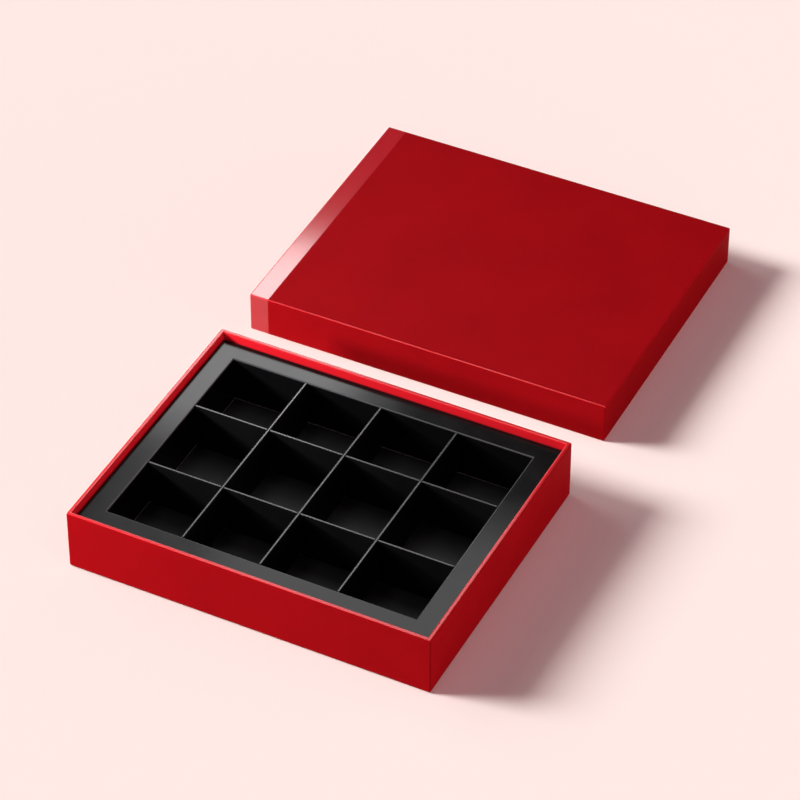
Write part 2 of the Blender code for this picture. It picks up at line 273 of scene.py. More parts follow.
@dataclass(frozen=True)
class WrapPaper:
    """Printed art paper under a matt film: an even, saturated colour, nearly without gloss.

    The folds and the base's rim are painted a brighter red, a painted highlight, and are glossier there.
    """

    name: str
    deep: str
    light: str
    # A painted highlight: the brighter red of the folds and of the base's rim
    fold: str
    # Painted light: the brighter red of the paper turned in over the inside walls
    turned_in: str
    # A darker red round the base's upright corners
    corner: str = "6a0509"
    roughness: float = 0.6
    ior: float = 1.46
    specular: float = 0.012
    coat: float = 0.0
    coat_on_folds: float = 0.6
    coat_roughness: float = 0.17
    coat_ior: float = 1.5
    cloud: float = 38 * MM
    # Film texture is nearer 0.1 mm. At 0.7 mm it still shows as a faint tooth
    tooth: float = 0.7 * MM
    tooth_depth: float = 0.004 * MM
    # The board under the paper is never quite flat
    swell: float = 24 * MM
    swell_depth: float = 0.012 * MM

    def make(self) -> bpy.types.Material:
        """Builds the material."""
        tone = Tone(self.name)
        cloud = tone.clouds(self.cloud, detail=3.0)
        tooth = tone.noise(self.tooth, detail=2.0)
        colour = tone.mix(cloud, linear(self.deep), linear(self.light))
        # Painted light: the paper turned in over the inside walls is painted a brighter red
        colour = tone.mix(tone.mark(Mark.TURNED_IN_PAINTED_LIGHT), colour, linear(self.turned_in))
        # Painted highlight: folds and the base's rim are painted a brighter red
        colour = tone.mix(tone.mark(Mark.FOLD_HIGHLIGHT), colour, linear(self.fold))
        # A darker red round the base's upright corners
        colour = tone.mix(tone.mark(Mark.CORNER), colour, linear(self.corner))
        normal = tone.relief(tone.noise(self.swell, detail=2.0), self.swell_depth)
        return tone.finish({
            "Base Color": colour,
            "Roughness": self.roughness,
            "IOR": self.ior,
            "Specular IOR Level": self.specular,
            "Coat Weight": carry(tone.mark(Mark.BURNISHED), (self.coat, self.coat_on_folds)),
            "Coat Roughness": self.coat_roughness,
            "Coat IOR": self.coat_ior,
            "Normal": tone.relief(tooth, self.tooth_depth, normal),
        })


@dataclass(frozen=True)
class SatinCard:
    """Black-dyed card with a calendered face: deep black that picks up a soft grey sheen at an angle."""

    name: str
    deep: str
    light: str
    fold: str
    roughness: float = 0.17
    # How much smoother and how much rougher the card is in its clouds
    swing: tuple[float, float] = (0.02, 0.03)
    ior: float = 1.5
    specular: float = 0.15
    cloud: float = 22 * MM
    # Fibres are 0.03 mm wide and up to 2 mm long. They are drawn four times as wide, to show at all
    fibre: float = 0.12 * MM
    fibre_stretch: tuple[float, float, float] = (9.0, 1.0, 9.0)
    fibre_depth: float = 0.001 * MM

    def make(self) -> bpy.types.Material:
        """Builds the material."""
        tone = Tone(self.name)
        cloud = tone.clouds(self.cloud, detail=3.0)
        fibre = tone.noise(self.fibre, detail=2.0, stretch=self.fibre_stretch)
        colour = tone.mix(cloud, linear(self.deep), linear(self.light))
        # Creases painted greyer: partly the broken face, partly a painted highlight
        colour = tone.mix(tone.mark(Mark.FOLD_HIGHLIGHT), colour, linear(self.fold))
        smoother, rougher = self.swing
        return tone.finish({
            "Base Color": colour,
            "Roughness": carry(cloud, (self.roughness - smoother, self.roughness + rougher)),
            "IOR": self.ior,
            "Specular IOR Level": self.specular,
            "Normal": tone.relief(fibre, self.fibre_depth),
        })


@dataclass(frozen=True)
class FibreBoard:
    """Uncoated board or paper: matt, with flecks and fibres of several shades."""

    name: str
    deep: str
    light: str
    fleck: str
    roughness: float = 0.9
    # How much smoother and how much rougher the board is from fleck to fleck
    swing: tuple[float, float] = (0.06, 0.04)
    ior: float = 1.5
    specular: float = 0.3
    cloud: float = 9 * MM
    # Recycled flecks are 0.2 to 0.6 mm
    fleck_size: float = 0.45 * MM
    fleck_share: float = 0.36
    fleck_blur: float = 0.08
    stretch: tuple[float, float, float] = (2.5, 1.0, 1.0)
    depth: float = 0.02 * MM

    def make(self) -> bpy.types.Material:
        """Builds the material."""
        tone = Tone(self.name)
        cloud = tone.clouds(self.cloud, detail=4.0)
        fleck = tone.noise(self.fleck_size, detail=2.0, stretch=self.stretch)
        colour = tone.mix(cloud, linear(self.deep), linear(self.light))
        shown = carry(fleck, (1.0, 0.0), (self.fleck_share, self.fleck_share + self.fleck_blur))
        colour = tone.mix(shown, colour, linear(self.fleck))
        smoother, rougher = self.swing
        return tone.finish({
            "Base Color": colour,
            "Roughness": carry(fleck, (self.roughness - smoother, self.roughness + rougher)),
            "IOR": self.ior,
            "Specular IOR Level": self.specular,
            "Normal": tone.relief(fleck, self.depth),
        })


@dataclass(frozen=True)
class PaperSweep:
    """Seamless pale studio paper: flat and matt, so that only the shadows draw on it."""

    name: str
    colour: str
    roughness: float = 0.95

    def make(self) -> bpy.types.Material:
        """Builds the material."""
        return Tone(self.name).finish({
            "Base Color": linear(self.colour), "Roughness": self.roughness, "Specular IOR Level": 0.0,
        })


# Art paper printed solid red and laminated with matt film: an even deep red without glare, a painted
# highlight of brighter red on each fold and over the rim, and a thin shine there from the folding bone
RED_WRAP = WrapPaper("matt_laminated_red_paper", "86060d", "8d070e", "bc161f", "c01822")
# The same paper with gloss varnish in place of the film: a lighter red under a bright, slightly blurred
# sheen that slides along the lid's end, and a painted highlight of brighter red on its folds
GLOSS_BAND = WrapPaper(
    "gloss_varnished_red_paper", "9a151e", "a21720", "c83c46", "a21720",
    roughness=0.4, coat=1.0, coat_on_folds=1.0, coat_roughness=0.13,
    coat_ior=1.57, tooth_depth=0.001 * MM, swell_depth=0.006 * MM,
)
# Grey-hearted card with both faces dyed black and calendered between steel rolls: near black, with a soft
# grey sheen that fades over the deck, and creases painted greyer: partly the broken face, partly a painted
# highlight
BLACK_CARD = SatinCard("satin_black_card", "070708", "0a0a0b", "454547")
# Black board without calendering: a dull black that stays dark at the bottom of the compartments
FLOOR_CARD = FibreBoard(
    "uncoated_black_board", "0f0f10", "141415", "1c1c1d",
    roughness=0.45, specular=0.18, fleck_size=0.3 * MM, depth=0.006 * MM,
)
# Where the knife went through the satin card, its grey heart shows as a thin pale line
CARD_EDGE = FibreBoard("cut_card_edge", "8a8a8a", "949494", "707070", roughness=0.5, depth=0.004 * MM)
# Grey board with black paper laid on both faces: the walls of the compartments are nearly without light
DIVIDER_FACE = SatinCard("black_lined_board", "050506", "080809", "2c2c2e", roughness=0.45)
# The die's cut bares and polishes the board's grey core: a fine grey line on top of every strip
DIVIDER_CORE = FibreBoard(
    "cut_grey_board_edge", "363636", "424242", "2c2c2c",
    roughness=0.24, specular=0.33, cloud=30 * MM, depth=0.0008 * MM,
)
# Board couched from unsorted waste paper: warm grey, with darker and paler fibres
GREYBOARD = FibreBoard("recycled_greyboard", "8d867a", "a09a8c", "5f594f")
# Unbleached paper tape with dried gum: brown, with long fibres and a faint sheen
KRAFT_TAPE = FibreBoard(
    "gummed_kraft_tape", "a8835a", "bb9668", "8a6a45", roughness=0.7, specular=0.5,
    fleck_size=0.3 * MM, stretch=(1.0, 1.0, 8.0),
)
# Uncoated black paper glued over the boards: flat black with a fine tooth
LINING = FibreBoard(
    "black_lining_paper", "121213", "18181a", "26262a",
    roughness=0.8, fleck_size=0.3 * MM, depth=0.008 * MM,
)
# Dyed background paper off a roll: matt and pale pink, the same all over
SWEEP = PaperSweep("pale_pink_studio_paper", "fdf1eb")


def deselect() -> None:
    """Clears the selection, which the frame's nodes fill when they are loaded."""
    for item in bpy.context.view_layer.objects:
        item.select_set(False)


def take_up(item: Piece) -> None:
    """Makes one piece the only one selected, and active."""
    deselect()
    item.select_set(True)
    bpy.context.view_layer.objects.active = item


def add_block(name: str, low: Sequence[float], high: Sequence[float]) -> Piece:
    """Adds a cube primitive between two corners.

    Args:
        name: the piece's name.
        low: its lowest corner.
        high: its highest corner.

    Returns:
        The piece, with its place in its mesh.
    """
    deselect()
    centre = [(a + b) / 2 for a, b in zip(low, high)]
    bpy.ops.mesh.primitive_cube_add(size=1.0, location=centre)
    item = bpy.context.object
    item.name = item.data.name = name
    item.scale = [b - a for a, b in zip(low, high)]
    bpy.ops.object.transform_apply(location=True, rotation=True, scale=True)
    return item


class Bench:
    """Edit mode on one piece, with selection by place and normal."""

    def __init__(self, item: Piece) -> None:
        """Takes the piece to be worked on."""
        self.item = item

    def __enter__(self) -> "Bench":
        """Opens edit mode."""
        take_up(self.item)
        bpy.ops.object.mode_set(mode="EDIT")
        return self

    def __exit__(self, kind: type | None, error: BaseException | None, trace: TracebackType | None) -> None:
        """Closes edit mode.

        Args:
            kind: the type of an error, if one came up.
            error: the error itself.
            trace: where it came up.
        """
        bpy.ops.object.mode_set(mode="OBJECT")

    def pick(self, kind: str, test: Callable[[bmesh.types.BMFace | bmesh.types.BMEdge], bool]) -> None:
        """Selects the faces or the edges that pass a test, and nothing else.

        Args:
            kind: FACE or EDGE.
            test: true for one to select.
        """
        bpy.ops.mesh.select_mode(type=kind)
        bpy.ops.mesh.select_all(action="DESELECT")
        mesh = bmesh.from_edit_mesh(self.item.data)
        mesh.normal_update()
        for part in [part for part in (mesh.faces if kind == "FACE" else mesh.edges) if test(part)]:
            part.select_set(True)
        bmesh.update_edit_mesh(self.item.data)

    def inset(self, width: float) -> None:
        """Insets the selected face by a width."""
        bpy.ops.mesh.inset(thickness=width, depth=0.0, use_even_offset=True)

    def push(self, travel: Sequence[float]) -> None:
        """Extrudes the selected face along a travel."""
        bpy.ops.mesh.extrude_region_move(TRANSFORM_OT_translate={"value": tuple(travel)})

    def drop_faces(self) -> None:
        """Deletes the selected faces and keeps their edges."""
        bpy.ops.mesh.delete(type="ONLY_FACE")

    def round(self, radius: float, steps: int) -> None:
        """Rounds the selected edges.

        Args:
            radius: how far the rounding reaches on either side of an edge.
            steps: how many flats it is made of.
        """
        bpy.ops.mesh.bevel(
            offset_type="OFFSET", offset=radius, segments=steps, affect="EDGES", clamp_overlap=False
        )

    def score(self, place: Sequence[float], direction: Sequence[float], keep_beyond: bool = False) -> None:
        """Adds an edge all round where a plane meets the mesh.

        Args:
            place: a point on the plane.
            direction: the plane's normal.
            keep_beyond: whether only what lies beyond the plane, along its normal, is kept.
        """
        bpy.ops.mesh.select_mode(type="FACE")
        bpy.ops.mesh.select_all(action="SELECT")
        bpy.ops.mesh.bisect(plane_co=place, plane_no=direction, clear_inner=keep_beyond)


def same(first: float, second: float) -> bool:
    """True for two coordinates at one place."""
    return abs(first - second) < SAME


def is_crease(edge: bmesh.types.BMEdge) -> bool:
    """True for an edge where the sheet turns sharply."""
    return edge.is_manifold and edge.calc_face_angle() > CREASE


def is_fold(edge: bmesh.types.BMEdge) -> bool:
    """True for a sharp edge that turns the good side outwards."""
    return is_crease(edge) and edge.is_convex


def is_level(edge: bmesh.types.BMEdge) -> bool:
    """True for an edge whose ends are at one height."""
    first, second = edge.verts
    return same(first.co.z, second.co.z)


def is_upright(edge: bmesh.types.BMEdge) -> bool:
    """True for an edge that stands straight up."""
    first, second = edge.verts
    return (first.co - second.co).xy.length < SAME


def is_top(face: bmesh.types.BMFace) -> bool:
    """True for a face that looks up."""
    return face.normal.z > FACING


def is_bottom(face: bmesh.types.BMFace) -> bool:
    """True for a face that looks down."""
    return face.normal.z < -FACING


def is_diagonal(face: bmesh.types.BMFace) -> bool:
    """True for an upright face that stands across a corner."""
    return abs(face.normal.z) < UPRIGHT and min(abs(face.normal.x), abs(face.normal.y)) > FACING


def apply_modifier(item: Piece, kind: str, **settings: object) -> None:
    """Adds a modifier with its settings and applies it.

    Args:
        item: the piece.
        kind: the modifier's type name.
        settings: its settings by name.
    """
    take_up(item)
    modifier = item.modifiers.new(kind.lower(), kind)
    for name, value in settings.items():
        setattr(modifier, name, value)
    bpy.ops.object.modifier_apply(modifier=modifier.name)


def thicken(item: Piece, thickness: float) -> None:
    """Gives a sheet its thickness, away from its good side.

    Args:
        item: the open sheet.
        thickness: how thick the paper or card is.
    """
    apply_modifier(
        item, "SOLIDIFY", thickness=thickness, offset=-1.0, use_even_offset=True, use_quality_normals=True
    )


def soften(item: Piece) -> None:
    """Shades a piece smooth over its rounded folds, with its flat faces kept flat.

    Args:
        item: the piece.
    """
    take_up(item)
    bpy.ops.object.shade_smooth_by_angle(angle=SMOOTH)
    apply_modifier(item, "WEIGHTED_NORMAL", mode="FACE_AREA", keep_sharp=True)


def write_marks(item: Piece, marks: dict[Mark, Callable[[Face], float]]) -> None:
    """Writes marks on a piece's faces.

    Args:
        item: the piece.
        marks: for each mark, how strong it is on a face, 0 to 1.
    """
    for mark, strength in marks.items():
        layer = item.data.attributes.new(mark.value, "FLOAT", "FACE")
        layer.data.foreach_set("value", [strength(face) for face in item.data.polygons])


def tilt(face: Face) -> float:
    """Tells how far a face leans from the three axes.

    Args:
        face: a face of a finished sheet.

    Returns:
        0 on a flat, 1 half-way round a fold.
    """
    largest = max(abs(part) for part in face.normal)
    return min(1.0, (1.0 - largest) / (1.0 - math.sqrt(0.5)))


def dress(item: Piece, *materials: bpy.types.Material) -> None:
    """Gives a piece its materials.

    Args:
        item: the piece.
        materials: one for each material number of its faces.
    """
    item.data.materials.clear()
    for material in materials:
        item.data.materials.append(material)


def copy_along(item: Piece, name: str, travel: Sequence[float]) -> Piece:
    """Copies a piece, with a mesh of its own, and moves the copy.

    Args:
        item: the piece to copy.
        name: the copy's name.
        travel: how far the copy is from the piece.

    Returns:
        The copy, with its place in its mesh.
    """
    take_up(item)
    bpy.ops.object.duplicate(linked=False)
    twin = bpy.context.object
    twin.name = twin.data.name = name
    twin.location = travel
    bpy.ops.object.transform_apply(location=True, rotation=False, scale=False)
    return twin


def settle(item: Piece, body: str, node: str) -> None:
    """Hands a finished piece to the frame.

    Args:
        item: the piece.
        body: the body it rides on.
        node: the solid it stands for.
    """
    deselect()
    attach(item, body)
    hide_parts(node)
    LOG.info("%s rides on %s and stands for %s", item.name, body, node)


@dataclass
class Sheets:
    """Thicknesses and radii of the papers and cards, as the solids have them."""

    wrap: float = 0.15 * MM
    card: float = 0.6 * MM
    divider: float = 1.2 * MM
    glue: float = 0.25 * MM
    rim: float = 2.4 * MM
    fold: float = 0.8 * MM
    deck_fold: float = 0.68 * MM
    fold_steps: int = 6
    slit: float = 0.3 * MM


@dataclass
class Wrap:
    """The wrapping paper of one tray, modelled mouth up round the Z axis."""

    length: float
    width: float
    bottom: float
    top: float
    turn_in: float
    turn_under: float
    sheets: Sheets
    # What lies deeper than this share of the rim's width is inside the rim
    rim_share: float = 0.75
    # The rim is where the paper is this level, and it takes this share of a fold's painted highlight
    rim_level: float = 0.7
    rim_highlight_share: float = 0.62
    # How much sooner round a fold the gloss comes than the colour
    gloss_lead: float = 2.0

    def model(self, name: str) -> Piece:
        """Folds the paper round the tray, from a block.

        Args:
            name: the piece's name.

        Returns:
            The open sheet, good side outwards.
        """
        half = (self.length / 2, self.width / 2)
        item = add_block(name, (-half[0], -half[1], self.bottom), (half[0], half[1], self.top))
        with Bench(item) as bench:
            bench.pick("FACE", is_top)
            bench.inset(self.sheets.rim)
            bench.push((0.0, 0.0, -self.turn_in))
            bench.drop_faces()
            if self.turn_under > 0.0:
                bench.pick(
                    "FACE", lambda face: is_bottom(face) and face.calc_center_median().z < self.top / 2
                )
                bench.inset(self.turn_under)
                bench.drop_faces()
            bench.pick("EDGE", is_fold)
            bench.round(self.sheets.fold, self.sheets.fold_steps)
            self.mitre(bench)
        return item

    def mitre(self, bench: Bench) -> None:
        """Opens the slit between the turned-in papers at the four inside corners.

        Args:
            bench: the open edit mode on the wrap.
        """
        bench.pick("EDGE", lambda edge: is_upright(edge) and is_crease(edge) and not edge.is_convex)
        bench.round(self.sheets.slit / 2, 1)
        bench.pick("FACE", lambda face: is_diagonal(face) and self.inside(face.calc_center_median()))
        bench.drop_faces()

    def inside(self, place: Vector) -> bool:
        """True for a place inside the rim."""
        reach = self.sheets.rim * self.rim_share
        return abs(place.x) < self.length / 2 - reach and abs(place.y) < self.width / 2 - reach

    def marks(self, item: Piece) -> None:
        """Marks the folds, the rim and the turned-in paper.

        Args:
            item: the thickened wrap, mouth up.
        """
        rim_foot = self.top - self.sheets.fold
        is_base = self.turn_under > 0.0

        def on_rim(face: Face) -> bool:
            """True on top of the base's rim and the upper parts of its folds."""
            return is_base and face.center.z > rim_foot and face.normal.z > self.rim_level

        def outward(face: Face) -> float:
            """Above 0 on a face that looks out of the box, and below 0 on one that looks in."""
            return face.normal.xy.dot(face.center.xy)

        def lean(face: Face) -> float:
            """How far a face is round a level fold, but nothing on the folds under the base's rim."""
            below_rim = is_base and outward(face) > 0.0 and not on_rim(face)
            return tilt(face) if abs(face.normal.z) > UPRIGHT and not below_rim else 0.0

        def fold(face: Face) -> float:
            """The painted highlight on a fold, and over the rim."""
            return max(lean(face), self.rim_highlight_share if on_rim(face) else 0.0)

        def corner(face: Face) -> float:
            """Darker red round the base's upright corners, deepest half-way round each."""
            return tilt(face) if is_base and abs(face.normal.z) < UPRIGHT else 0.0

        def burnished(face: Face) -> float:
            """The gloss that the folding bone leaves along the long folds and on the rim."""
            along = abs(face.normal.y) > abs(face.normal.x)
            return 1.0 if on_rim(face) else min(1.0, self.gloss_lead * lean(face)) * along

        def turned_in(face: Face) -> float:
            """The mark of paper that faces the box's inside, which is painted a brighter red as painted
            light.
            """
            return 1.0 if outward(face) < -SAME and abs(face.normal.z) < FACING else 0.0

        write_marks(item, {
            Mark.FOLD_HIGHLIGHT: fold, Mark.CORNER: corner, Mark.BURNISHED: burnished, Mark.TURNED_IN_PAINTED_LIGHT: turned_in,
        })


@dataclass
class Base:
    """The base: its wrap is modelled here, and its boards and linings keep their meshes."""

    sheets: Sheets
    height: float = 35 * MM
    wrap_bottom: float = 0.4 * MM
    turn_in: float = 18 * MM
    turn_under: float = 15 * MM
    wrap_name: str = "base_wrap_paper"

    def build(self) -> None:
        """Models and dresses the base."""
        low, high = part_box("base_wrap")
        wrap = Wrap(
            high.x - low.x, high.y - low.y, self.wrap_bottom, self.height,
            self.turn_in, self.turn_under, self.sheets,
        )
        item = wrap.model(self.wrap_name)
        thicken(item, self.sheets.wrap)
        soften(item)
        wrap.marks(item)
        dress(item, RED_WRAP.make())
        settle(item, "base", "base_wrap")


@dataclass
class Lid:
    """The lid, mouth down beside the base: a wrap, and a gloss band over its left end."""

    sheets: Sheets
    length: float = 206 * MM
    width: float = 166 * MM
    height: float = 23.5 * MM
    turn_in: float = 15 * MM
    band: float = 11 * MM
    # The solids keep a seam's width apart. Here wrap and band meet, all but a fine joint
    seam: float = 0.3 * MM
    joint: float = 0.02 * MM
    place: tuple[float, float] = (-5 * MM, 207 * MM)
    turn: float = math.radians(0.4)

    def build(self) -> None:
        """Models and dresses the lid's wrap and band."""
        edge = self.band - self.length / 2 - (self.seam - self.joint) / 2
        wrap = Wrap(self.length, self.width, 0.0, self.height, self.turn_in, 0.0, self.sheets)
        whole = wrap.model("lid_wrap_paper")
        half = copy_along(whole, "lid_gloss_band", (0.0, 0.0, 0.0))
        for item, node, slot, side, start, finish in (
            (whole, "lid_wrap", "red_paper", 1.0, edge, RED_WRAP),
            (half, "lid_end_band", "gloss_red_paper", -1.0, edge - self.joint, GLOSS_BAND),
        ):
            with Bench(item) as bench:
                bench.score((start, 0.0, 0.0), (side, 0.0, 0.0), keep_beyond=True)
            thicken(item, self.sheets.wrap)
            soften(item)
            wrap.marks(item)
            self.lay(item)
            dress(item, finish.make())
            settle(item, "lid", node)

    def lay(self, item: Piece) -> None:
        """Turns a piece on its mouth and lays it where the lid rests.

        Args:
            item: the piece, modelled mouth up round the Z axis.
        """
        take_up(item)
        item.matrix_world = (
            Matrix.Translation((*self.place, self.height)) @ Matrix.Rotation(self.turn, 4, "Z")
            @ Matrix.Rotation(math.pi, 4, "X")
        )
        bpy.ops.object.transform_apply(location=True, rotation=True, scale=True)


@dataclass
class Insert:
    """The folded platform: legs, deck, and flanges down round the opening."""

    sheets: Sheets
    border: float = 11.8 * MM
    cut_edge: float = 0.5 * MM

    def build(self) -> None:
        """Models and dresses the platform."""
        low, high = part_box("insert_platform")
        item = add_block("insert_deck_card", low, high)
        flange_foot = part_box("long_divider_front")[0].z
        with Bench(item) as bench:
            bench.pick("FACE", is_bottom)
            bench.drop_faces()
            bench.pick("FACE", is_top)
            bench.inset(self.border)
            bench.push((0.0, 0.0, flange_foot - high.z))
            bench.drop_faces()
            bench.pick("EDGE", lambda edge: is_fold(edge) and is_level(edge))
            bench.round(self.sheets.deck_fold, self.sheets.fold_steps)
            self.slit(bench, high.z - 2 * self.sheets.deck_fold)
            bench.score((0.0, 0.0, flange_foot + self.cut_edge), (0.0, 0.0, 1.0))
        thicken(item, self.sheets.card)
        soften(item)
        # The fold mark paints the creases greyer, partly as a painted highlight
        write_marks(item, {Mark.FOLD_HIGHLIGHT: tilt})
        dress(item, BLACK_CARD.make(), CARD_EDGE.make())
        reach = high - Vector((self.border, self.border, 0.0)) / 2
        for face in item.data.polygons:
            inside = abs(face.center.x) < reach.x and abs(face.center.y) < reach.y
            face.material_index = int(inside and face.center.z < flange_foot + self.cut_edge)
        settle(item, "insert", "insert_platform")

    def slit(self, bench: Bench, fold_foot: float) -> None:
        """Opens the slits between neighbouring legs and between neighbouring flanges.

        Args:
            bench: the open edit mode on the platform.
            fold_foot: the height under which a leg and a flange are flat.
        """
        bench.pick("EDGE", lambda edge: is_upright(edge) and is_crease(edge))
        bench.round(self.sheets.slit / 2, 1)
        bench.pick("FACE", lambda face: is_diagonal(face) and min(v.co.z for v in face.verts) < fold_foot)
        bench.drop_faces()


@dataclass
class Lattice:
    """Five slotted strips of black-lined board, with the grey core bare on their cut edges."""

    sheets: Sheets
    seat: float = 0.3 * MM
    lead_in: float = 1.0 * MM
    edge_radius: float = 0.1 * MM
    edge_steps: int = 2
    core_width: float = 0.52 * MM

    def build(self) -> None:
        """Models one long strip and one cross strip, and copies them to their places."""
        core, lining = DIVIDER_CORE.make(), DIVIDER_FACE.make()
        crosses = {side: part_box(f"cross_divider_{side}") for side in ("left", "middle", "right")}
        longs = {side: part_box(f"long_divider_{side}") for side in ("front", "back")}
        cross_x = [(low.x + high.x) / 2 for low, high in crosses.values()]
        long_y = [(low.y + high.y) / 2 for low, high in longs.values()]
        low, high = longs["front"]
        half_way = (low.z + high.z) / 2
        strip = add_block("long_strip", low, high)
        for place in cross_x:
            self.slot(strip, 0, place, half_way - self.sheets.glue / 2, high.z)
        self.finish(strip, 1, low, high, (lining, core))
        for side, place in zip(longs, long_y):
            item = copy_along(strip, f"long_strip_{side}", (0.0, place - long_y[0], 0.0))
            settle(item, "lattice", f"long_divider_{side}")
        bpy.data.objects.remove(strip, do_unlink=True)
        low, high = crosses["left"]
        strip = add_block("cross_strip", low, high)
        for place in long_y:
            self.slot(strip, 1, place, low.z, half_way + self.sheets.glue / 2)
            self.open_mouth(strip, place, low.z)
        self.finish(strip, 0, low, high, (lining, core))
        for side, place in zip(crosses, cross_x):
            item = copy_along(strip, f"cross_strip_{side}", (place - cross_x[0], 0.0, 0.0))
            settle(item, f"cross_{side}", f"cross_divider_{side}")
        bpy.data.objects.remove(strip, do_unlink=True)

    def slot(self, item: Piece, axis: int, place: float, bottom: float, top: float) -> None:
        """Cuts one slot in a strip.

        Args:
            item: the strip.
            axis: the axis that the strip runs along.
            place: where the slot is on that axis.
            bottom: the slot's lower end.
            top: the slot's upper end.
        """
        half = self.sheets.divider / 2 + self.seat
        over = self.sheets.divider
        strip_low = Vector(min(v.co[i] for v in item.data.vertices) for i in range(3))
        strip_high = Vector(max(v.co[i] for v in item.data.vertices) for i in range(3))
        low = strip_low - Vector((over, over, over))
        high = strip_high + Vector((over, over, over))
        low[axis], high[axis] = place - half, place + half
        # A slot that is open at one end is cut well past that end, so that no skin is left there
        low.z = bottom if bottom - strip_low.z > self.seat else bottom - over
        high.z = top if strip_high.z - top > self.seat else top + over
        cutter = add_block("slot", low, high)
        apply_modifier(item, "BOOLEAN", operation="DIFFERENCE", solver="EXACT", object=cutter)
        bpy.data.objects.remove(cutter, do_unlink=True)

    def open_mouth(self, item: Piece, place: float, foot: float) -> None:
        """Widens the mouth of a slot in a cross strip, so that it finds the long strip.

        Args:
            item: the strip.
            place: where the slot is on the strip's length.
            foot: the height of the strip's lower edge.
        """
        reach = self.sheets.divider / 2 + self.seat

        def at_mouth(edge: bmesh.types.BMEdge) -> bool:
            """True for the slot's two lower edges."""
            middle = (edge.verts[0].co + edge.verts[1].co) / 2
            return is_level(edge) and same(middle.z, foot) and same(abs(middle.y - place), reach)

        with Bench(item) as bench:
            bench.pick("EDGE", at_mouth)
            bench.round(self.lead_in, 1)

    def finish(
        self, item: Piece, across: int, low: Vector, high: Vector,
        materials: Sequence[bpy.types.Material],
    ) -> None:
        """Parts the lining papers from the core on a strip's cut edges, eases its edges, and dresses it.

        Args:
            item: the strip.
            across: the axis of its thickness.
            low: its lowest corner.
            high: its highest corner.
            materials: the lining's and the core's.
        """
        middle = (low + high) / 2
        way = Vector((0.0, 0.0, 0.0))
        way[across] = 1.0
        with Bench(item) as bench:
            for side in (-1.0, 1.0):
                bench.score(middle + side * self.core_width / 2 * way, way)
        apply_modifier(
            item, "BEVEL", width=self.edge_radius, segments=self.edge_steps,
            limit_method="ANGLE", use_clamp_overlap=True,
        )
        soften(item)
        dress(item, *materials)
        for face in item.data.polygons:
            face.material_index = int(abs(face.center[across] - middle[across]) < self.core_width / 2)


@dataclass
class Carcass:
    """Boards, tapes and linings that show only when something is lifted: they keep their meshes."""

    boards: tuple[str, ...] = ("base_board", "lid_board")
    linings: tuple[str, ...] = ("base_floor_liner", "base_underside_sheet", "lid_liner")
    floors: tuple[str, ...] = ("insert_floor",)
    trays: tuple[str, ...] = ("base", "lid")
    corners: tuple[str, ...] = ("back_right", "back_left", "front_left", "front_right")

    def build(self) -> None:
        """Gives each solid that stays its own finish."""
        stays = [f"{tray}_corner_stay_{corner}" for tray in self.trays for corner in self.corners]
        for finish, names in (
            (GREYBOARD, self.boards), (KRAFT_TAPE, stays),
            (LINING, self.linings), (FLOOR_CARD, self.floors),
        ):
            material = finish.make()
            for name in names:
                for slot in frame["nodes"][name].material_slots:
                    slot.material = material
                LOG.info("%s keeps its mesh and is finished as %s", name, material.name)


